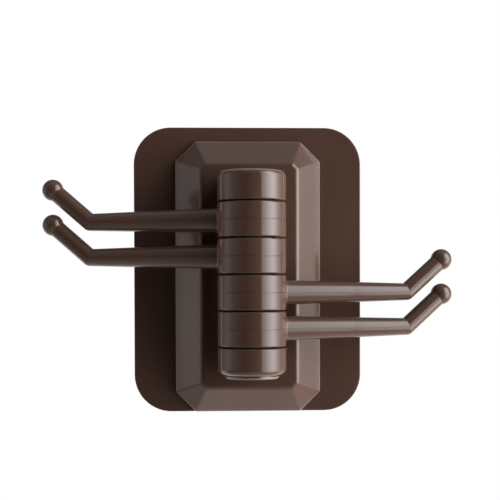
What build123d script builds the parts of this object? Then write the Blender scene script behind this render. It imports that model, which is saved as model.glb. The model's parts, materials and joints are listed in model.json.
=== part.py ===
from build123d import *
import os
from math import cos, hypot, radians, sin, sqrt

# Rotating towel hook: four swinging arms on one upright pivot, carried by a bevelled housing
# that an adhesive sheet holds to the wall.
# Frame: the wall is the plane Y = 0 and the hook stands out along -Y, with +X right and +Z up.
# The origin is the centre of the adhesive's wall face. All lengths are millimetres.
# A depth is a distance out from the wall, so a face at depth d lies at Y = -d.

# Clearances and cutting
overrun = 1.0               # how far a cutter runs past the face that it opens
running_gap = 0.05          # radial play of the arms on the pivot sleeve
press_gap = 0.02            # radial gap drawn where a thread or a knurl grips
drop_in_gap = 0.15          # play all round a piece that drops into its pocket
washer_gap = 0.2            # radial play of a washer in its recess
pick_range = 0.02           # how near to a depth an edge counts as lying at it

# Adhesive sheet
sheet_width = 80.0
sheet_height = 100.0
sheet_corner = 13.0
sheet_thickness = 1.0
sheet_edge_round = 0.3
adhesive_thickness = 0.5
adhesive_margin = 0.8       # bare border of the sheet's back

# Housing
housing_width = 51.0
housing_height = 95.0
housing_corner = 7.0        # leg of each cut corner
housing_foot_gap = 0.0      # housing's lower end above the sheet's lower end
rim_height = 1.2            # upright edge between the sheet and the bevel
rim_round = 1.0
bevel_rise = 9.8
bevel_inset = 8.9
hip_round = 1.2             # in plan, where two sides of the housing meet
front_round = 2.2           # soft blend between the bevel and the flat front
shell_wall = 2.0
front_wall = 2.0

# Back cover, its tape and its screws
tape_thickness = 0.6
tape_margin = 2.0           # tape edge inside the cover's edge
cover_margin = 3.0          # width of the rim that the housing rests on
cover_thickness = 2.4
cover_screw_end_gap = 17.5  # screw below the housing's top end and above its lower end
cover_screw_radius = 1.3
cover_screw_length = 7.5
cover_head_radius = 2.7
cover_head_height = 1.5
cover_hole_radius = 1.6
driver_slot_width = 0.9     # arms of the cross recess in every screw head
driver_slot_share = 0.6     # cross recess, as a share of the head's radius and height
boss_radius = 3.0
boss_gap = 1.0              # clear space between a boss and the rib beside it
pilot_end_gap = 0.7         # blind end of a pilot hole past the screw's tip
rail_height = 2.5           # ribs that guide the brace plate
rail_thickness = 1.2
rail_gap = 0.3

# Column of lugs and hubs
column_radius = 11.4
column_gap = 1.5            # clear space between the hubs and the housing's flat front
column_top_margin = 3.6     # flat front above the top lug
column_foot_margin = 5.85   # flat front below the bottom lug
hub_count = 4
seam_gap = 0.5              # visible gap between two hubs
edge_round = 0.45
recess_radius = 8.0         # washer seats in the hubs and the lugs
recess_depth = 0.5

# Lugs
top_lug_share = 0.148       # lug heights as shares of the column's height
top_lug_round = 2.0
bottom_lug_share = 0.1325
bottom_lug_round = 2.0
stem_width = 16.0
stem_round = 0.8
tenon_width = 12.0
tenon_step = 1.3            # tenon edge inside the lug's top and bottom faces
tenon_gap = 0.15

# Brace plate and lug screws
brace_thickness = 1.5
brace_width = 13.0
brace_overlap = 1.5         # brace past the outer edge of each tenon
brace_corner = 2.0
lug_screw_spacing = 7.0
lug_screw_radius = 1.45
lug_screw_length = 8.5
lug_head_radius = 2.7
lug_head_height = 1.8
lug_head_round = 0.6
brace_hole_radius = 1.7

# Pivot
sleeve_radius = 3.5
sleeve_bore_radius = 2.15
pivot_screw_radius = 2.0
pivot_head_radius = 3.8
pivot_head_height = 2.6
pivot_head_round = 0.9
pivot_hole_radius = 2.2
insert_radius = 2.8
insert_share = 0.7          # insert's length as a share of the top lug's height
insert_groove_depth = 0.3
insert_groove_share = 0.25  # groove height as a share of the insert's length
insert_end_gap = 1.0        # screw tip short of the insert's far end
spring_thickness = 0.4
spring_dish = 0.5           # height of the spring's cone
spring_side_gap = 0.25

# Bottom plug
plug_radius = 9.0
plug_flange = 0.95
plug_neck_radius = 8.4
plug_neck = 0.3             # shadow groove between the lug and the plug's flange
plug_round = 0.45
counterbore_radius = 5.6
counterbore_share = 0.513   # counterbore's depth as a share of the bottom lug's height
spigot_wall = 1.2
spigot_end_gap = 1.0        # spigot short of the counterbore's floor

# Arms
arm_root_share = 0.363      # rod's radius at the hub, as a share of the hub's height
arm_end_share = 0.702       # rod's radius at the bend, as a share of its radius at the hub
arm_reach = 56.6            # pivot axis to the bend
arm_root_edge = 0.35        # flat left on the hub between the root's fillet and the hub's round edge
root_overlap = 3.0          # rod run inside the hub's wall
tip_length = 17.5           # bend to the ball's centre
tip_angle = 40.0
ball_share = 1.255          # ball's radius as a share of the rod's radius at the bend
neck_round = 0.6
parting_width = 0.22        # mould parting line round hub, rod and ball
parting_depth = 0.12
rest_sweep = 15.0           # degrees that each arm stands behind the wall-parallel line

# Depths of the faces, counted out from the wall
sheet_face = adhesive_thickness + sheet_thickness
bevel_start = sheet_face + rim_height
front_face = bevel_start + bevel_rise
wall_inside = front_face - front_wall
cover_back = sheet_face + tape_thickness
cover_front = cover_back + cover_thickness
brace_back = wall_inside - brace_thickness
axis_depth = front_face + column_gap + column_radius

# Heights
housing_low = housing_foot_gap - sheet_height / 2
housing_high = housing_low + housing_height
housing_middle = (housing_low + housing_high) / 2
top_lug_high = housing_high - bevel_inset - column_top_margin
bottom_lug_low = housing_low + bevel_inset + column_foot_margin
column_height = top_lug_high - bottom_lug_low
top_lug_low = top_lug_high - column_height * top_lug_share
bottom_lug_high = bottom_lug_low + column_height * bottom_lug_share
stack_top = top_lug_low - seam_gap / 2
stack_bottom = bottom_lug_high + seam_gap / 2
hub_pitch = (stack_top - stack_bottom) / hub_count
insert_length = (top_lug_high - top_lug_low) * insert_share
counterbore_depth = (bottom_lug_high - bottom_lug_low) * counterbore_share
spring_height = spring_thickness + spring_dish
sleeve_high = top_lug_low + recess_depth
sleeve_low = bottom_lug_high - recess_depth - spring_height
pivot_seat = bottom_lug_low + counterbore_depth

bottom_tenon = (bottom_lug_low + tenon_step, bottom_lug_high - tenon_step)
top_tenon = (top_lug_low + tenon_step, top_lug_high - tenon_step)
brace_low = bottom_tenon[0] - brace_overlap
brace_high = top_tenon[1] + brace_overlap

# Sizes that follow
hub_height = hub_pitch - seam_gap
washer_thickness = seam_gap + 2 * recess_depth
washer_radius = recess_radius - washer_gap
bevel_slope = bevel_inset / bevel_rise
bevel_wall = shell_wall * hypot(bevel_rise, bevel_inset) / bevel_rise
rail_middle = brace_width / 2 + rail_gap + rail_thickness / 2
cover_screw_x = rail_middle + rail_thickness / 2 + boss_gap + boss_radius
arm_root_radius = hub_height * arm_root_share
arm_root_round = hub_height / 2 - edge_round - arm_root_edge - arm_root_radius
arm_end_radius = arm_root_radius * arm_end_share
ball_radius = arm_end_radius * ball_share
spigot_length = counterbore_depth - spigot_end_gap

# A round piece stands on its low end, and a recess hangs from its high end
on_base = (Align.CENTER, Align.CENTER, Align.MIN)
from_top = (Align.CENTER, Align.CENTER, Align.MAX)


def bevel_at(depth):
    """Inset of the housing's outer surface at a depth on the bevel."""
    return (depth - bevel_start) * bevel_slope


def front_plane(depth, x=0, z=0):
    """Plane at a depth, seen from the room: sketch x is X, sketch y is Z, and it extrudes outwards."""
    return Plane(origin=(x, -depth, z), x_dir=(1, 0, 0), z_dir=(0, -1, 0))


def octagon(inset):
    """The housing's outline, moved in by the same distance on all eight sides."""
    half_x = housing_width / 2 - inset
    half_z = housing_height / 2 - inset
    leg = housing_corner - inset * (2 - sqrt(2))
    corners = [
        (half_x - leg, -half_z), (half_x, leg - half_z),
        (half_x, half_z - leg), (half_x - leg, half_z),
        (leg - half_x, half_z), (-half_x, half_z - leg),
        (-half_x, leg - half_z), (leg - half_x, -half_z),
    ]
    return Polygon(*corners, align=None)


def soft_octagon(inset):
    """The same outline with its corners rounded, as the outside of the housing has them."""
    return fillet(octagon(inset).vertices(), hip_round)


def octagon_block(inset, near, far):
    """Straight block with the housing's outline between two depths."""
    return extrude(front_plane(near, z=housing_middle) * octagon(inset), far - near)


def octagon_taper(inset_near, near, inset_far, far):
    """Block whose outline changes from one inset to another between two depths."""
    sections = [
        front_plane(near, z=housing_middle) * octagon(inset_near),
        front_plane(far, z=housing_middle) * octagon(inset_far),
    ]
    return loft(sections, ruled=True)


def rounded_sheet(width, height, corner, near, far):
    """Sheet with round corners, centred on the origin."""
    return extrude(front_plane(near) * RectangleRounded(width, height, corner), far - near)


def rod(radius, near, far, x, z):
    """Cylinder that stands out from the wall between two depths."""
    return front_plane(near, x, z) * Cylinder(radius, far - near, align=on_base)


def upright(radius, low, high):
    """Cylinder on the column's axis between two heights."""
    return Pos(0, -axis_depth, low) * Cylinder(radius, high - low, align=on_base)


def block(width, near, far, low, high, x=0):
    """Box between two depths and two heights."""
    return Pos(x, -(near + far) / 2, (low + high) / 2) * Box(width, far - near, high - low)


def ring(inner, outer, low, high):
    """Plain washer on the column's axis."""
    return upright(outer, low, high) - upright(inner, low - overrun, high + overrun)


def driver_recess(radius, depth):
    """Cross recess, sunk from the plane z = 0 into a screw head that lies below it."""
    length = 2 * radius * driver_slot_share
    bar = Box(length, driver_slot_width, depth * driver_slot_share, align=from_top)
    return bar + Rot(0, 0, 90) * bar


def pan_screw(shank_radius, shank_length, head_radius, head_height, head_round):
    """Pan head screw: the head's seat is z = 0, the shank points up and the head lies below."""
    head = Pos(0, 0, -head_height / 2) * Cylinder(head_radius, head_height)
    head = fillet(head.edges().sort_by(Axis.Z)[0], head_round)
    recess = Pos(0, 0, -head_height) * Rot(180, 0, 0) * driver_recess(head_radius, head_height)
    shank = Cylinder(shank_radius, shank_length, align=on_base)
    return head + shank - recess


def cover_screw_places():
    """X and Z of the four cover screws."""
    heights = (housing_low + cover_screw_end_gap, housing_high - cover_screw_end_gap)
    return [(x, z) for x in (-cover_screw_x, cover_screw_x) for z in heights]


def lug_screw_places():
    """X and Z of the two screws behind each lug."""
    half_x = lug_screw_spacing / 2
    heights = ((bottom_lug_low + bottom_lug_high) / 2, (top_lug_low + top_lug_high) / 2)
    return [(x, z) for z in heights for x in (-half_x, half_x)]


# Adhesive sheet and tape
def make_adhesive_layer():
    width = sheet_width - 2 * adhesive_margin
    height = sheet_height - 2 * adhesive_margin
    return rounded_sheet(width, height, sheet_corner - adhesive_margin, 0, adhesive_thickness)


def make_backing_sheet():
    sheet = rounded_sheet(sheet_width, sheet_height, sheet_corner, adhesive_thickness, sheet_face)
    return fillet(sheet.faces().sort_by(Axis.Y)[0].edges(), sheet_edge_round)


def make_bonding_tape():
    return octagon_block(cover_margin + tape_margin, sheet_face, cover_back)


# Housing and back cover
def make_housing():
    foot = front_plane(bevel_start, z=housing_middle) * soft_octagon(0)
    front = front_plane(front_face, z=housing_middle) * soft_octagon(bevel_inset)
    shell = extrude(front_plane(sheet_face, z=housing_middle) * soft_octagon(0), rim_height)
    shell += loft([foot, front], ruled=True)
    shell = fillet(shell.faces().sort_by(Axis.Y)[0].edges(), front_round)
    rim_y = -bevel_start
    rim_edges = shell.edges().filter_by_position(Axis.Y, rim_y - pick_range, rim_y + pick_range)
    shell = fillet(rim_edges, rim_round)
    shell -= octagon_block(cover_margin, sheet_face - overrun, cover_front)
    shell -= octagon_taper(
        bevel_at(cover_front) + bevel_wall, cover_front, bevel_at(wall_inside) + bevel_wall, wall_inside
    )
    for x, z in cover_screw_places():
        shell += rod(boss_radius, cover_front, wall_inside, x, z)
    rail_back = wall_inside - rail_height
    for x in (-rail_middle, rail_middle):
        shell += block(rail_thickness, rail_back, wall_inside, brace_low, brace_high, x)
    for x, z in cover_screw_places():
        pilot_end = cover_back + cover_screw_length + pilot_end_gap
        shell -= rod(cover_screw_radius + press_gap, cover_front - overrun, pilot_end, x, z)
    slot_width = tenon_width + 2 * tenon_gap
    slot_back = wall_inside - overrun
    for low, high in (bottom_tenon, top_tenon):
        shell -= block(slot_width, slot_back, front_face + overrun, low - tenon_gap, high + tenon_gap)
    return shell


def make_back_cover():
    cover = octagon_block(cover_margin + drop_in_gap, cover_back, cover_front)
    for x, z in cover_screw_places():
        cover -= rod(cover_hole_radius, cover_back - overrun, cover_front + overrun, x, z)
        cover -= front_plane(cover_back, x, z) * cover_head()
    return cover


def cover_head():
    """Countersunk head: flat face on the plane z = 0, cone pointing up."""
    return Cone(cover_head_radius, cover_screw_radius, cover_head_height, align=on_base)


def make_cover_screws():
    screw = cover_head() + Cylinder(cover_screw_radius, cover_screw_length, align=on_base)
    screw -= Rot(180, 0, 0) * driver_recess(cover_head_radius, cover_head_height)
    return Compound([front_plane(cover_back, x, z) * screw for x, z in cover_screw_places()])


# Lugs and what clamps them
def make_lug(low, high, tenon, bottom_round, top_round):
    """One end of the column: a round head, a stem back to the housing and a tenon through its wall."""
    head = upright(column_radius, low, high)
    head = fillet(head.faces().sort_by(Axis.Z)[0].edges(), bottom_round)
    head = fillet(head.faces().sort_by(Axis.Z)[-1].edges(), top_round)
    stem = block(stem_width, front_face, axis_depth, low, high)
    stem = fillet(stem.edges().filter_by(Axis.Y), stem_round)
    body = head + stem + block(tenon_width, wall_inside, front_face, tenon[0], tenon[1])
    for x, z in lug_screw_places():
        if low < z < high:
            hole_end = brace_back + lug_screw_length + pilot_end_gap
            body -= rod(lug_screw_radius + press_gap, wall_inside - overrun, hole_end, x, z)
    return body


def make_top_lug():
    lug = make_lug(top_lug_low, top_lug_high, top_tenon, edge_round, top_lug_round)
    lug -= upright(recess_radius, top_lug_low - overrun, sleeve_high)
    lug -= upright(insert_radius + press_gap, top_lug_low, sleeve_high + insert_length)
    return lug


def make_bottom_lug():
    lug = make_lug(bottom_lug_low, bottom_lug_high, bottom_tenon, bottom_lug_round, edge_round)
    lug -= upright(recess_radius, sleeve_low, bottom_lug_high + overrun)
    lug -= upright(pivot_hole_radius, bottom_lug_low - overrun, bottom_lug_high)
    lug -= upright(counterbore_radius, bottom_lug_low - overrun, pivot_seat)
    return lug


def make_brace_plate():
    height = brace_high - brace_low
    middle = (brace_high + brace_low) / 2
    outline = RectangleRounded(brace_width, height, brace_corner)
    plate = extrude(front_plane(brace_back, z=middle) * outline, brace_thickness)
    for x, z in lug_screw_places():
        plate -= rod(brace_hole_radius, brace_back - overrun, wall_inside + overrun, x, z)
    return plate


def make_lug_screws():
    screw = pan_screw(lug_screw_radius, lug_screw_length, lug_head_radius, lug_head_height, lug_head_round)
    return Compound([front_plane(brace_back, x, z) * screw for x, z in lug_screw_places()])


# Pivot
def make_pivot_sleeve():
    return ring(sleeve_bore_radius, sleeve_radius, sleeve_low, sleeve_high)


def make_pivot_screw():
    length = sleeve_high + insert_length - insert_end_gap - pivot_seat
    screw = pan_screw(pivot_screw_radius, length, pivot_head_radius, pivot_head_height, pivot_head_round)
    return Pos(0, -axis_depth, pivot_seat) * screw


def make_threaded_insert():
    insert = ring(pivot_screw_radius + press_gap, insert_radius, sleeve_high, sleeve_high + insert_length)
    half_groove = insert_length * insert_groove_share / 2
    middle = sleeve_high + insert_length / 2
    groove_floor = insert_radius - insert_groove_depth
    return insert - ring(groove_floor, insert_radius + overrun, middle - half_groove, middle + half_groove)


def make_disc_spring():
    inner = sleeve_radius + spring_side_gap
    outer = recess_radius - spring_side_gap
    section = [
        (inner, spring_dish), (outer, 0), (outer, spring_thickness), (inner, spring_height),
    ]
    profile = Plane.XZ * Polygon(*section, align=None)
    return Pos(0, -axis_depth, sleeve_low) * revolve(profile, Axis.Z)


def make_friction_washer(index):
    """Washer in the seam under the hub above it, counted from the top."""
    middle = stack_top - index * hub_pitch
    inner = sleeve_radius + washer_gap
    return ring(inner, washer_radius, middle - washer_thickness / 2, middle + washer_thickness / 2)


def make_bottom_plug():
    neck_low = bottom_lug_low - plug_neck
    flange = upright(plug_radius, neck_low - plug_flange, neck_low)
    flange = fillet(flange.edges().filter_by(GeomType.CIRCLE).sort_by(Axis.Z)[0], plug_round)
    outer = counterbore_radius - drop_in_gap
    spigot = ring(outer - spigot_wall, outer, bottom_lug_low, bottom_lug_low + spigot_length)
    return flange + upright(plug_neck_radius, neck_low, bottom_lug_low) + spigot


# Arms
def arm_form(shrink):
    """Hub, tapered rod, bent tip and ball on the origin, along +X, thinner all over by shrink."""
    start = column_radius - root_overlap
    taper = (arm_root_radius - arm_end_radius) / (arm_reach - column_radius)
    start_radius = arm_root_radius + taper * root_overlap
    hub = Cylinder(column_radius - shrink, hub_height)
    hub = fillet(hub.edges().filter_by(GeomType.CIRCLE), edge_round)
    along_rod = Plane(origin=(start, 0, 0), z_dir=(1, 0, 0))
    end_radius = arm_end_radius - shrink
    shaft = along_rod * Cone(start_radius - shrink, end_radius, arm_reach - start, align=on_base)
    elbow = Pos(arm_reach, 0, 0) * Sphere(end_radius)
    tip = tip_plane() * Cylinder(end_radius, tip_length, align=on_base)
    ball = tip_plane() * Pos(0, 0, tip_length) * Sphere(ball_radius - shrink)
    return hub, shaft, elbow + tip, ball


def tip_plane():
    """Plane square to the tip at the bend."""
    turn = radians(tip_angle)
    return Plane(origin=(arm_reach, 0, 0), x_dir=(0, 1, 0), z_dir=(cos(turn), 0, sin(turn)))


def parting_slabs():
    """Thin sheets along the mould's parting faces: level through the hub and rod, tilted at the tip."""
    margin = ball_radius + overrun
    level_length = column_radius + overrun + arm_reach
    to_bend = (Align.MAX, Align.CENTER, Align.CENTER)
    level = Box(level_length, 2 * column_radius + margin, parting_width, align=to_bend)
    tilted = Box(parting_width, 2 * margin, tip_length + margin, align=on_base)
    turned = tip_plane() * Rot(0, 0, 90) * tilted
    return Pos(arm_reach, 0, 0) * level + turned


def make_arm(index):
    """Arm on hub number index, counted from the top; the first two point left, the others right."""
    hub, shaft, tip, ball = arm_form(0)
    rooted = hub + shaft
    rooted = fillet(new_edges(hub, shaft, combined=rooted), arm_root_round)
    ended = tip + ball
    ended = fillet(new_edges(tip, ball, combined=ended), neck_round)
    arm = rooted + ended
    core = None
    for piece in arm_form(parting_depth):
        core = piece if core is None else core + piece
    arm -= parting_slabs() - core
    half = hub_height / 2
    arm -= Cylinder(sleeve_radius + running_gap, hub_height + 2 * overrun)
    for side in (-1, 1):
        arm -= Pos(0, 0, side * half) * Cylinder(recess_radius, 2 * recess_depth)
    heading = 180 - rest_sweep if index < hub_count / 2 else rest_sweep
    middle = stack_top - (index + 1 / 2) * hub_pitch
    return Pos(0, -axis_depth, middle) * Rot(0, 0, heading) * arm


pieces = {
    "adhesive_layer": make_adhesive_layer(),
    "backing_sheet": make_backing_sheet(),
    "bonding_tape": make_bonding_tape(),
    "back_cover": make_back_cover(),
    "cover_screws": make_cover_screws(),
    "housing": make_housing(),
    "top_lug": make_top_lug(),
    "bottom_lug": make_bottom_lug(),
    "brace_plate": make_brace_plate(),
    "lug_screws": make_lug_screws(),
    "pivot_screw": make_pivot_screw(),
    "pivot_sleeve": make_pivot_sleeve(),
    "threaded_insert": make_threaded_insert(),
    "disc_spring": make_disc_spring(),
    "bottom_plug": make_bottom_plug(),
}
for index in range(hub_count + 1):
    pieces[f"friction_washer_{index + 1}"] = make_friction_washer(index)
for index in range(hub_count):
    pieces[f"arm_{index + 1}"] = make_arm(index)

os.makedirs("parts", exist_ok=True)
for name, piece in pieces.items():
    export_step(piece, f"parts/{name}.step")
    print(name, "volume", round(piece.volume, 1))
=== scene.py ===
import json
import math

import bpy
from mathutils import Euler, Matrix, Vector

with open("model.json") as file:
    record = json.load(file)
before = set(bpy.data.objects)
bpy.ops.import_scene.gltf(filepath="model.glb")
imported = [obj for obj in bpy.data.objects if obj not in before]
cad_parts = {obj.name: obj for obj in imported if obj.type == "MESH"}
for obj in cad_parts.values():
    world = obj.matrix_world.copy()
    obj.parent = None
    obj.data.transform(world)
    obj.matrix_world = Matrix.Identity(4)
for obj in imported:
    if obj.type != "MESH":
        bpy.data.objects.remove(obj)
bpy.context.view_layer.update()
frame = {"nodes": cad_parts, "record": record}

# Rotating towel hook on its adhesive sheet.
# Metres; the wall is Y = 0, the room lies towards -Y, X is right and Z is up.
nodes = frame["nodes"]
print("frame loaded:", len(nodes), "nodes")


# Shader helpers

class ShaderValue:
    # an output of a node that can be used in plain sums

    def __init__(self, maker, socket):
        self.maker = maker
        self.socket = socket

    def joined(self, operation, first, second):
        return self.maker.add("ShaderNodeMath", {"operation": operation}, {0: first, 1: second})

    def __add__(self, other):
        return self.joined("ADD", self, other)

    def __radd__(self, other):
        return self.joined("ADD", other, self)

    def __sub__(self, other):
        return self.joined("SUBTRACT", self, other)

    def __rsub__(self, other):
        return self.joined("SUBTRACT", other, self)

    def __mul__(self, other):
        return self.joined("MULTIPLY", self, other)

    def __rmul__(self, other):
        return self.joined("MULTIPLY", other, self)

    def __pow__(self, other):
        return self.joined("POWER", self, other)

    def __rpow__(self, other):
        return self.joined("POWER", other, self)

    def __abs__(self):
        return self.joined("ABSOLUTE", self, 0)


class NodeMaker:
    # the node tree of one material, of the world or of a lamp

    def __init__(self, owner):
        owner.use_nodes = True
        self.owner = owner
        self.tree = owner.node_tree
        self.tree.nodes.clear()

    def add(self, kind, settings=None, inputs=None, output=0):
        # settings first, then the values or links of the sockets
        node = self.tree.nodes.new(kind)
        for key, value in (settings or {}).items():
            if key == "stops":
                elements = node.color_ramp.elements
                while len(elements) < len(value):
                    elements.new(0.5)
                for element, (place, colour) in zip(elements, value):
                    element.position = place
                    element.color = colour
            else:
                setattr(node, key, value)
        for key, value in (inputs or {}).items():
            if isinstance(value, ShaderValue):
                self.tree.links.new(value.socket, node.inputs[key])
            else:
                node.inputs[key].default_value = value
        return ShaderValue(self, node.outputs[output]) if node.outputs else None

    def place(self, stretch=(1, 1, 1), turn=(0, 0, 0), move=(0, 0, 0)):
        raw = self.add("ShaderNodeTexCoord", output="Object")
        inputs = {"Vector": raw, "Location": move, "Rotation": turn, "Scale": stretch}
        return self.add("ShaderNodeMapping", None, inputs)

    def split(self, vector):
        return [self.add("ShaderNodeSeparateXYZ", None, {0: vector}, output=axis) for axis in "XYZ"]

    def noise(self, place, size, detail=2.0, roughness=0.5):
        inputs = {"Vector": place, "Scale": size, "Detail": detail, "Roughness": roughness}
        return self.add("ShaderNodeTexNoise", None, inputs)

    def cells(self, place, size):
        return self.add("ShaderNodeTexVoronoi", None, {"Vector": place, "Scale": size})

    def ranged(self, value, span, to=(0, 1)):
        inputs = {"Value": value, "From Min": span[0], "From Max": span[1], "To Min": to[0], "To Max": to[1]}
        return self.add("ShaderNodeMapRange", {"clamp": True}, inputs)

    def graded(self, value, stops):
        greys = [(place, (grey, grey, grey, 1)) for place, grey in stops]
        return self.add("ShaderNodeValToRGB", {"stops": greys}, {"Fac": value})

    def tinted(self, factor, first, second):
        below = first if isinstance(first, ShaderValue) else (*first, 1)
        inputs = {0: factor, 6: below, 7: (*second, 1)}
        return self.add("ShaderNodeMix", {"data_type": "RGBA"}, inputs, output=2)

    def bump(self, height, depth, under=None):
        inputs = {"Height": height, "Distance": depth, "Strength": 1.0}
        if under is not None:
            inputs["Normal"] = under
        return self.add("ShaderNodeBump", None, inputs)

    def whiteShare(self, glossyShare):
        # 1 for what the camera sees, also through clear things, and the given share in gloss
        camera = self.add("ShaderNodeLightPath", output="Is Camera Ray")
        through = self.add("ShaderNodeLightPath", output="Is Transmission Ray")
        glossy = self.add("ShaderNodeLightPath", output="Is Glossy Ray")
        return self.ranged(camera + through + glossy * glossyShare, (0, 1))

    def finished(self, inputs):
        shader = self.add("ShaderNodeBsdfPrincipled", None, inputs)
        self.add("ShaderNodeOutputMaterial", None, {"Surface": shader})
        return self.owner


def blended(first, second, firstShare):
    return firstShare * first + (1 - firstShare) * second


# Finishes: one for each material slot of the part, and own ones for pieces with a line on them: a painted
# highlight line along an edge, or the moulded parting line.
# Sizes are per metre, so 45 is a pattern of about 22 mm. A span is the range of a pattern that is used.

glossPlastic = {
    "brown": (0.080, 0.0425, 0.030),
    "darkBrown": (0.069, 0.0365, 0.026),
    "flowSize": 45.0,
    "flowStretch": (1, 1, 0.5),
    "flowShare": 0.75,             # of the slow flow in the tone; the specks have the rest
    "speckSize": 1500.0,
    "toneSpan": (0.35, 0.65),
    "handlingSize": 210.0,
    "handlingStretch": (1, 1, 0.4),
    "handlingTurn": (0.3, 0.2, 0.5),
    "handlingSpan": (0.4, 0.68),
    "roughness": (0.09, 0.14),
    "peelSize": 380.0,
    "peelDepth": 0.000003,
    "grainSize": 5200.0,
    "grainDepth": 0.0000008,
    "ior": 1.55,
}
# the same plastic with the sheet's softer gloss
sheetPlastic = {
    **glossPlastic,
    "brown": (0.076, 0.0405, 0.029),
    "darkBrown": (0.066, 0.035, 0.025),
    "handlingSize": 120.0,
    "roughness": (0.22, 0.27),
    "peelSize": 130.0,
    "peelDepth": 0.000008,
    "grainSize": 4200.0,
    "grainDepth": 0.000001,
}

# the line that the two halves of the mould leave round each hub, half way up
partingLine = {
    "topLevel": 0.016192,
    "pitch": 0.01206153,
    "pitchesBelow": 10,            # whole pitches, more than there are hubs, so that heights stay above zero
    "halfWidth": 0.0003,
    "height": 0.000055,
    "axisDepth": 0.0254,
    "endsAt": 0.0116,              # just outside the hub, so that the rod has none
    "fadeLength": 0.0004,
}

# painted highlight: a pale line painted into the colour along the housing's outer edge, standing in for the
# light that its rounded rim catches
rimPaintedHighlight = {
    "pale": (0.175, 0.133, 0.115),
    "halfWidth": 0.0255,
    "halfHeight": 0.0475,
    "cornerReach": 0.0660,         # half width and half height together, less the corner's leg
    "middleHeight": -0.0025,
    "width": 0.0005,
    "fullWidth": 0.0002,           # the outer part of the width, where the line is at its palest
}

# the same painted highlight line round the top lug's upper edge and the bottom plug's lower edge, standing in
# for the light that these rounded edges catch
lugPaintedHighlight = {
    "pale": (0.185, 0.141, 0.122),
    "level": 0.03207,
    "halfWidth": 0.0004,
    "halfFullWidth": 0.00016,
    "axisDepth": 0.0254,
    "from": (0.0093, 0.0099),      # the radii at which it starts and is full
}
plugPaintedHighlight = {
    **lugPaintedHighlight,
    "level": -0.03602,
    "from": (0.0082, 0.0087),
}


# mask of the painted highlight line along the housing's outer edge
def rimHighlightShare(make, values):
    across, _, height = make.split(make.place(move=(0, 0, -values["middleHeight"])))
    across = abs(across)
    height = abs(height)
    side = across.joined("MAXIMUM", across - values["halfWidth"], height - values["halfHeight"])
    corner = (across + height - values["cornerReach"]) * math.sqrt(0.5)
    outside = side.joined("MAXIMUM", side, corner)
    return make.ranged(outside, (-values["width"], -values["fullWidth"]))


# mask of the painted highlight ring round the lug's upper edge or the plug's lower edge
def ringHighlightShare(make, values):
    across, outwards, height = make.split(make.place(move=(0, values["axisDepth"], -values["level"])))
    reach = (across * across + outwards * outwards) ** 0.5
    level = make.ranged(abs(height), (values["halfFullWidth"], values["halfWidth"]), (1, 0))
    return level * make.ranged(reach, values["from"])


def partingRidge(make, values):
    rise = values["pitch"] * values["pitchesBelow"] - values["topLevel"]
    across, outwards, height = make.split(make.place(move=(0, values["axisDepth"], rise)))
    level = height.joined("PINGPONG", height, values["pitch"] / 2)
    reach = (across * across + outwards * outwards) ** 0.5
    onHub = make.ranged(reach, (values["endsAt"], values["endsAt"] + values["fadeLength"]), (1, 0))
    return make.ranged(level, (0, values["halfWidth"]), (1, 0)) * onHub


def glossPlasticFinish(name, values, line=None, paintedHighlight=None):
    make = NodeMaker(bpy.data.materials.new(name))
    here = make.place()
    flow = make.noise(make.place(stretch=values["flowStretch"]), values["flowSize"])
    speck = make.noise(here, values["speckSize"])
    tone = make.ranged(blended(flow, speck, values["flowShare"]), values["toneSpan"])
    rubbed = make.place(stretch=values["handlingStretch"], turn=values["handlingTurn"])
    handling = make.noise(rubbed, values["handlingSize"], detail=5, roughness=0.62)
    grain = make.noise(here, values["grainSize"])
    surface = make.bump(make.noise(here, values["peelSize"], detail=1), values["peelDepth"])
    if line is not None:
        surface = make.bump(partingRidge(make, line), line["height"], surface)
    colour = make.tinted(tone, values["darkBrown"], values["brown"])
    # painted highlight: the pale edge line mixed into the base colour
    if paintedHighlight is not None:
        highlightShare, highlightValues = paintedHighlight
        colour = make.tinted(highlightShare(make, highlightValues), colour, highlightValues["pale"])
    return make.finished({
        "Base Color": colour,
        "Roughness": make.ranged(handling, values["handlingSpan"], values["roughness"]),
        "IOR": values["ior"],
        "Normal": make.bump(grain, values["grainDepth"], surface),
    })


gel = {
    "clear": (0.66, 0.64, 0.58),
    "cloudy": (0.52, 0.5, 0.45),
    "cloudSize": 90.0,
    "cloudSpan": (0.35, 0.65),
    "bubbleSize": 900.0,
    "bubbleSpan": (0.0, 0.25),
    "bubbleDepth": 0.00003,
    "roughness": (0.25, 0.5),
    "roughnessSpan": (0.3, 0.7),
    "ior": 1.41,
    "clearness": 0.35,
}


def gelFinish(name, values):
    make = NodeMaker(bpy.data.materials.new(name))
    here = make.place()
    cloud = make.noise(here, values["cloudSize"], detail=4)
    bubbles = make.ranged(make.cells(here, values["bubbleSize"]), values["bubbleSpan"])
    return make.finished({
        "Base Color": make.tinted(make.ranged(cloud, values["cloudSpan"]), values["clear"], values["cloudy"]),
        "Roughness": make.ranged(cloud, values["roughnessSpan"], values["roughness"]),
        "IOR": values["ior"],
        "Transmission Weight": values["clearness"],
        "Normal": make.bump(bubbles, values["bubbleDepth"]),
    })


foam = {
    "pale": (0.36, 0.36, 0.35),
    "dark": (0.24, 0.24, 0.235),
    "cellSize": 3200.0,
    "cellDepth": 0.00008,
    "cellShare": 0.6,              # of the cells in the tone; slow patches have the rest
    "patchSize": 300.0,
    "toneSpan": (0.2, 0.6),
    "roughness": (0.8, 0.95),
    "roughnessSpan": (0.3, 0.7),
}


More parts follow.
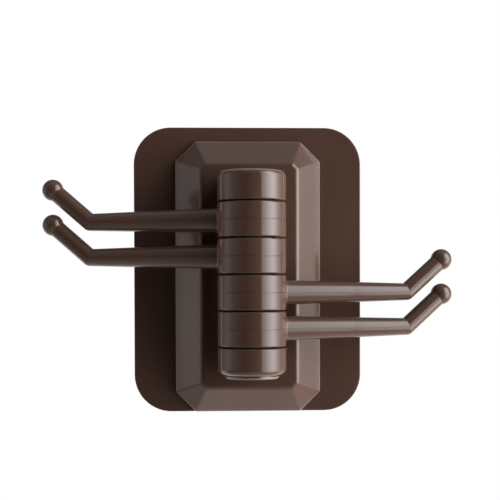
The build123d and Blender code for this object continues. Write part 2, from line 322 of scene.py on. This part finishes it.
def foamFinish(name, values):
    make = NodeMaker(bpy.data.materials.new(name))
    here = make.place()
    cell = make.cells(here, values["cellSize"])
    patch = make.noise(here, values["patchSize"], detail=3)
    tone = make.ranged(blended(cell, patch, values["cellShare"]), values["toneSpan"])
    return make.finished({
        "Base Color": make.tinted(tone, values["dark"], values["pale"]),
        "Roughness": make.ranged(patch, values["roughnessSpan"], values["roughness"]),
        "Normal": make.bump(cell, values["cellDepth"]),
    })


# the cover behind the housing, left as it came from an eroded mould
mattPlastic = {
    "brown": (0.045, 0.031, 0.026),
    "worn": (0.056, 0.04, 0.034),
    "wornSpan": (0.4, 0.65),
    "rubbedSize": 160.0,
    "sparkSize": 2600.0,
    "sparkDepth": 0.00002,
    "roughness": (0.45, 0.62),
    "roughnessSpan": (0.35, 0.65),
    "ior": 1.5,
}
# the washers in the column's seams, nearly black
washerPlastic = {
    **mattPlastic,
    "brown": (0.008, 0.006, 0.005),
    "worn": (0.014, 0.011, 0.01),
    "sparkSize": 3400.0,
    "sparkDepth": 0.000008,
    "roughness": (0.6, 0.75),
}


def mattPlasticFinish(name, values):
    make = NodeMaker(bpy.data.materials.new(name))
    here = make.place()
    eroded = make.noise(here, values["sparkSize"], detail=4, roughness=0.6)
    rubbed = make.noise(here, values["rubbedSize"], detail=3)
    return make.finished({
        "Base Color": make.tinted(make.ranged(rubbed, values["wornSpan"]), values["brown"], values["worn"]),
        "Roughness": make.ranged(rubbed, values["roughnessSpan"], values["roughness"]),
        "IOR": values["ior"],
        "Normal": make.bump(eroded, values["sparkDepth"]),
    })


# screws
zincSteel = {
    "bright": (0.66, 0.67, 0.69),
    "dull": (0.5, 0.51, 0.5),
    "grainStretch": (1, 1, 1),
    "grainSize": 2400.0,
    "grainDepth": 0.000003,
    "stainSize": 260.0,
    "stainShare": 0.6,             # of the stains in the tone; the grain has the rest
    "span": (0.35, 0.65),
    "roughness": (0.22, 0.4),
}
# brace plate and disc spring, with an upright grain
rolledSteel = {
    **zincSteel,
    "bright": (0.5, 0.5, 0.52),
    "dull": (0.36, 0.36, 0.37),
    "grainStretch": (1, 1, 0.04),
    "grainSize": 3000.0,
    "grainDepth": 0.000004,
    "roughness": (0.28, 0.46),
}
# pivot sleeve, with the grain round it
groundSteel = {
    **zincSteel,
    "bright": (0.72, 0.72, 0.73),
    "dull": (0.6, 0.6, 0.61),
    "grainStretch": (0.05, 0.05, 1),
    "grainSize": 4200.0,
    "grainDepth": 0.000002,
    "roughness": (0.16, 0.3),
}
# threaded insert
turnedBrass = {
    **groundSteel,
    "bright": (0.8, 0.57, 0.26),
    "dull": (0.62, 0.42, 0.17),
    "grainSize": 3600.0,
    "grainDepth": 0.000003,
    "roughness": (0.2, 0.38),
}


def metalFinish(name, values):
    make = NodeMaker(bpy.data.materials.new(name))
    grain = make.noise(make.place(stretch=values["grainStretch"]), values["grainSize"], detail=3)
    stain = make.noise(make.place(), values["stainSize"], detail=4, roughness=0.6)
    tone = make.ranged(blended(stain, grain, values["stainShare"]), values["span"])
    return make.finished({
        "Base Color": make.tinted(tone, values["dull"], values["bright"]),
        "Metallic": 1.0,
        "Roughness": make.ranged(stain, values["span"], values["roughness"]),
        "Normal": make.bump(grain, values["grainDepth"]),
    })


finishes = {
    "brown_plastic": glossPlasticFinish("glossBrownPlastic", glossPlastic),
    "brown_sheet": glossPlasticFinish("brownSheet", sheetPlastic),
    "adhesive": gelFinish("adhesiveGel", gel),
    "foam_tape": foamFinish("foamTape", foam),
    "cover_plastic": mattPlasticFinish("mattBrownPlastic", mattPlastic),
    "zinc_steel": metalFinish("zincSteel", zincSteel),
    "spring_steel": metalFinish("rolledSteel", rolledSteel),
    "ground_steel": metalFinish("groundSteel", groundSteel),
    "brass": metalFinish("turnedBrass", turnedBrass),
    "washer_plastic": mattPlasticFinish("washerPlastic", washerPlastic),
}
# pieces whose gloss plastic has a painted highlight line of its own, a pale line along an edge that stands in
# for the light caught there
ownFinishes = {
    "housing": glossPlasticFinish("housingPlastic", glossPlastic, paintedHighlight=(rimHighlightShare, rimPaintedHighlight)),
    "top_lug": glossPlasticFinish("topLugPlastic", glossPlastic, paintedHighlight=(ringHighlightShare, lugPaintedHighlight)),
    "bottom_plug": glossPlasticFinish("plugPlastic", glossPlastic, paintedHighlight=(ringHighlightShare, plugPaintedHighlight)),
}
armPlastic = glossPlasticFinish("armPlastic", glossPlastic, line=partingLine)
for part in frame["record"]["subparts"]:
    name = part["node"]
    finish = armPlastic if name.startswith("arm_") else ownFinishes.get(name, finishes[part["material_slot"]])
    for slot in nodes[name].material_slots:
        slot.material = finish
print("finishes made:", len(finishes) + len(ownFinishes) + 1)


# Studio: surroundings that show white to the camera, a pale floor well below the hook,
# one large softbox on the right and three weak lamps that don't show in gloss

white = (1, 1, 1, 1)
studio = {
    # the room's brightness from straight in front of the hook (0) to straight behind it (1)
    "room": ((0.05, 0.0), (0.33, 0.40), (0.475, 0.64), (0.58, 0.58), (0.7, 0.22), (1.0, 0.15)),
    # where gloss shows the white that the camera sees, as the Y part and the height of the direction
    "behindAt": (0.5, 0.8),
    "behindLow": (0.3, 0.6),
    "cornerDim": 0.6,              # how much darker the room is between its top and its sides
    "heightDim": 0.2,              # and straight above and below
}
floorSweep = {
    "height": -0.9,
    "front": -4.0,
    "size": 8.0,
    "tone": 0.45,
    "glow": 0.9,                   # lifts the floor to the photograph's white
    "whiteFrom": (0.0, 0.8),       # gloss shows that white behind the hook
}

# stops are the lamp's brightness from one edge to the other
softbox = {
    "turn": 70.0,
    "rise": 0.0,
    "distance": 0.9,
    "size": (2.0, 4.2),
    "power": 185.0,
    "glossy": True,
    "across": (
        (0.085, 0.0), (0.13, 0.32), (0.235, 0.46), (0.375, 0.82), (0.47, 1.0), (0.53, 0.95),
        (0.65, 0.38), (0.75, 0.14), (0.81, 0.085), (0.93, 0.06), (1.0, 0.0),
    ),
    "along": (
        (0.27, 0.0), (0.33, 0.15), (0.39, 0.6), (0.45, 0.72), (0.53, 1.0),
        (0.62, 1.0), (0.74, 0.66), (0.82, 0.4), (0.84, 0.0),
    ),
}
leftFill = {
    "turn": -98.0,
    "rise": -5.0,
    "distance": 0.9,
    "size": (0.6, 0.9),
    "power": 24.0,
    "glossy": False,
    "across": ((0.0, 0.0), (0.5, 1.0), (1.0, 0.0)),
    "along": ((0.0, 0.0), (0.5, 1.0), (1.0, 0.0)),
}
rightFill = {**leftFill, "turn": 110.0, "rise": -25.0}
lowFill = {**leftFill, "turn": 105.0, "rise": -62.0, "distance": 0.8, "size": (0.8, 0.5), "power": 29.0}


def whiteSurroundings(values):
    world = bpy.data.worlds.new("studioWorld")
    bpy.context.scene.world = world
    make = NodeMaker(world)
    sideways, depth, height = make.split(make.add("ShaderNodeTexCoord", output="Generated"))
    corner = 4 * sideways * sideways * height * height      # 1 half way between a side and the top
    room = make.graded(depth * 0.5 + 0.5, values["room"]) * (1 - values["cornerDim"] * corner)
    room = room * (1 - values["heightDim"] * height * height)
    lowness = make.ranged(abs(height), values["behindLow"], (1, 0))
    behind = make.ranged(depth, values["behindAt"]) * lowness
    dim = make.add("ShaderNodeBackground", None, {"Color": white, "Strength": room})
    bright = make.add("ShaderNodeBackground", None, {"Color": white, "Strength": 1.0})
    mixed = make.add("ShaderNodeMixShader", None, {0: make.whiteShare(behind), 1: dim, 2: bright})
    make.add("ShaderNodeOutputWorld", None, {"Surface": mixed})


def paleFloor(values):
    middle = values["front"] + values["size"] / 2
    bpy.ops.mesh.primitive_plane_add(size=values["size"], location=(0, middle, values["height"]))
    floor = bpy.context.object
    floor.name = "floor"
    make = NodeMaker(bpy.data.materials.new("paleFloor"))
    _, depth, _ = make.split(make.add("ShaderNodeNewGeometry", output="Position"))
    seen = make.whiteShare(make.ranged(depth, values["whiteFrom"]))
    tone = values["tone"]
    matt = make.add("ShaderNodeBsdfDiffuse", None, {"Color": (tone, tone, tone, 1)})
    glow = make.add("ShaderNodeEmission", None, {"Color": white, "Strength": values["glow"]})
    lifted = make.add("ShaderNodeAddShader", None, {0: matt, 1: glow})
    mixed = make.add("ShaderNodeMixShader", None, {0: seen, 1: matt, 2: lifted})
    make.add("ShaderNodeOutputMaterial", None, {"Surface": mixed})
    floor.data.materials.append(make.owner)


def studioLamp(name, values):
    # a rectangular lamp that faces the hook and fades towards its edges
    angle, lift = math.radians(values["turn"]), math.radians(values["rise"])
    away = Vector((math.sin(angle) * math.cos(lift), -math.cos(angle) * math.cos(lift), math.sin(lift)))
    lamp = bpy.data.lights.new(name, "AREA")
    lamp.shape = "RECTANGLE"
    lamp.size, lamp.size_y = values["size"]
    lamp.energy = values["power"]
    make = NodeMaker(lamp)
    across, along, _ = make.split(make.add("ShaderNodeNewGeometry", output="Parametric"))
    strength = make.graded(across, values["across"]) * make.graded(along, values["along"])
    glow = make.add("ShaderNodeEmission", None, {"Color": white, "Strength": strength})
    make.add("ShaderNodeOutputLight", None, {"Surface": glow})
    holder = bpy.data.objects.new(name, lamp)
    bpy.context.scene.collection.objects.link(holder)
    holder.location = away * values["distance"]
    holder.rotation_mode = "QUATERNION"
    holder.rotation_quaternion = away.to_track_quat("Z", "Y")
    holder.visible_camera = False
    holder.visible_glossy = values["glossy"]


whiteSurroundings(studio)
paleFloor(floorSweep)
studioLamp("softbox", softbox)
studioLamp("leftFill", leftFill)
studioLamp("rightFill", rightFill)
studioLamp("lowFill", lowFill)
print("studio ready")


# Camera, as solved from the photograph

shot = {
    "place": (-0.02362, -0.41510, -0.00536),
    "turn": 2.642,
    "rise": -1.294,
    "roll": -0.160,
    "lens": 84.351,
    "sensor": 36.0,
    "offCentre": (0.0300, 0.1226),   # the photograph is a crop, so its middle is off the lens axis
    "clip": (0.01, 30.0),
}


def photoCamera(values):
    camera = bpy.data.cameras.new("photoCamera")
    camera.lens = values["lens"]
    camera.sensor_width = values["sensor"]
    camera.shift_x, camera.shift_y = values["offCentre"]
    camera.clip_start, camera.clip_end = values["clip"]
    holder = bpy.data.objects.new("photoCamera", camera)
    bpy.context.scene.collection.objects.link(holder)
    holder.location = values["place"]
    level = Euler((math.radians(90 + values["rise"]), 0, -math.radians(values["turn"]))).to_matrix()
    holder.rotation_euler = (level @ Matrix.Rotation(math.radians(values["roll"]), 3, "Z")).to_euler()
    bpy.context.scene.camera = holder


photoCamera(shot)
bpy.context.scene.view_settings.view_transform = "Standard"
print("camera placed")
